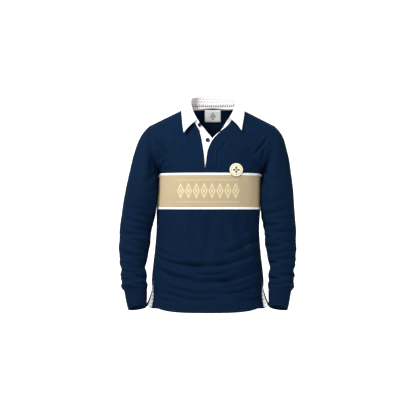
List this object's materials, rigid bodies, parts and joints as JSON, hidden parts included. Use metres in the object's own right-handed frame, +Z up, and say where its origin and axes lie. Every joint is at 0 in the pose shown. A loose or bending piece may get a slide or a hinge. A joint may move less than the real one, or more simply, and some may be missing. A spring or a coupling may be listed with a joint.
{
  "type": "sports jersey",
  "caption": "Long-sleeved cotton rugby jersey filled out as if worn, with a white folded collar, open placket, chest hoop, ribbed cuffs and taped side vents",
  "frame": {"origin": "the middle of the neck opening, level with the two points where the shoulder seams meet the collar", "axes": "+Z up towards the collar, +X to the wearer's left, -Y to the front of the garment"},
  "size_m": [0.6191, 0.2294, 0.7635],
  "materials": {
    "navy_jersey": "heavy single jersey knit, matt",
    "navy_rib": "ribbed knit, matt",
    "white_jersey": "jersey knit, matt",
    "tan_jersey": "jersey knit, matt",
    "white_drill": "woven cotton drill, matt",
    "white_tape": "woven tape, matt",
    "cream_patch": "embroidered twill",
    "navy_button": "rubbery, satin"
  },
  "bodies": {
    "root": {"front_upper": "navy_jersey", "chest_stripe_top": "white_jersey", "chest_band": "tan_jersey", "chest_stripe_bottom": "white_jersey", "front_lower": "navy_jersey", "back": "navy_jersey", "sleeve_left": "navy_jersey", "sleeve_right": "navy_jersey", "cuff_left": "navy_rib", "cuff_right": "navy_rib", "collar": "white_drill", "neck_tape": "white_tape", "neck_label": "white_tape", "under_placket": "white_drill", "placket_facing": "white_tape", "vent_tape_left": "white_tape", "vent_tape_right": "white_tape", "chest_patch": "cream_patch", "button_top": "navy_button", "button_middle": "navy_button"}
  },
  "joints": []
}
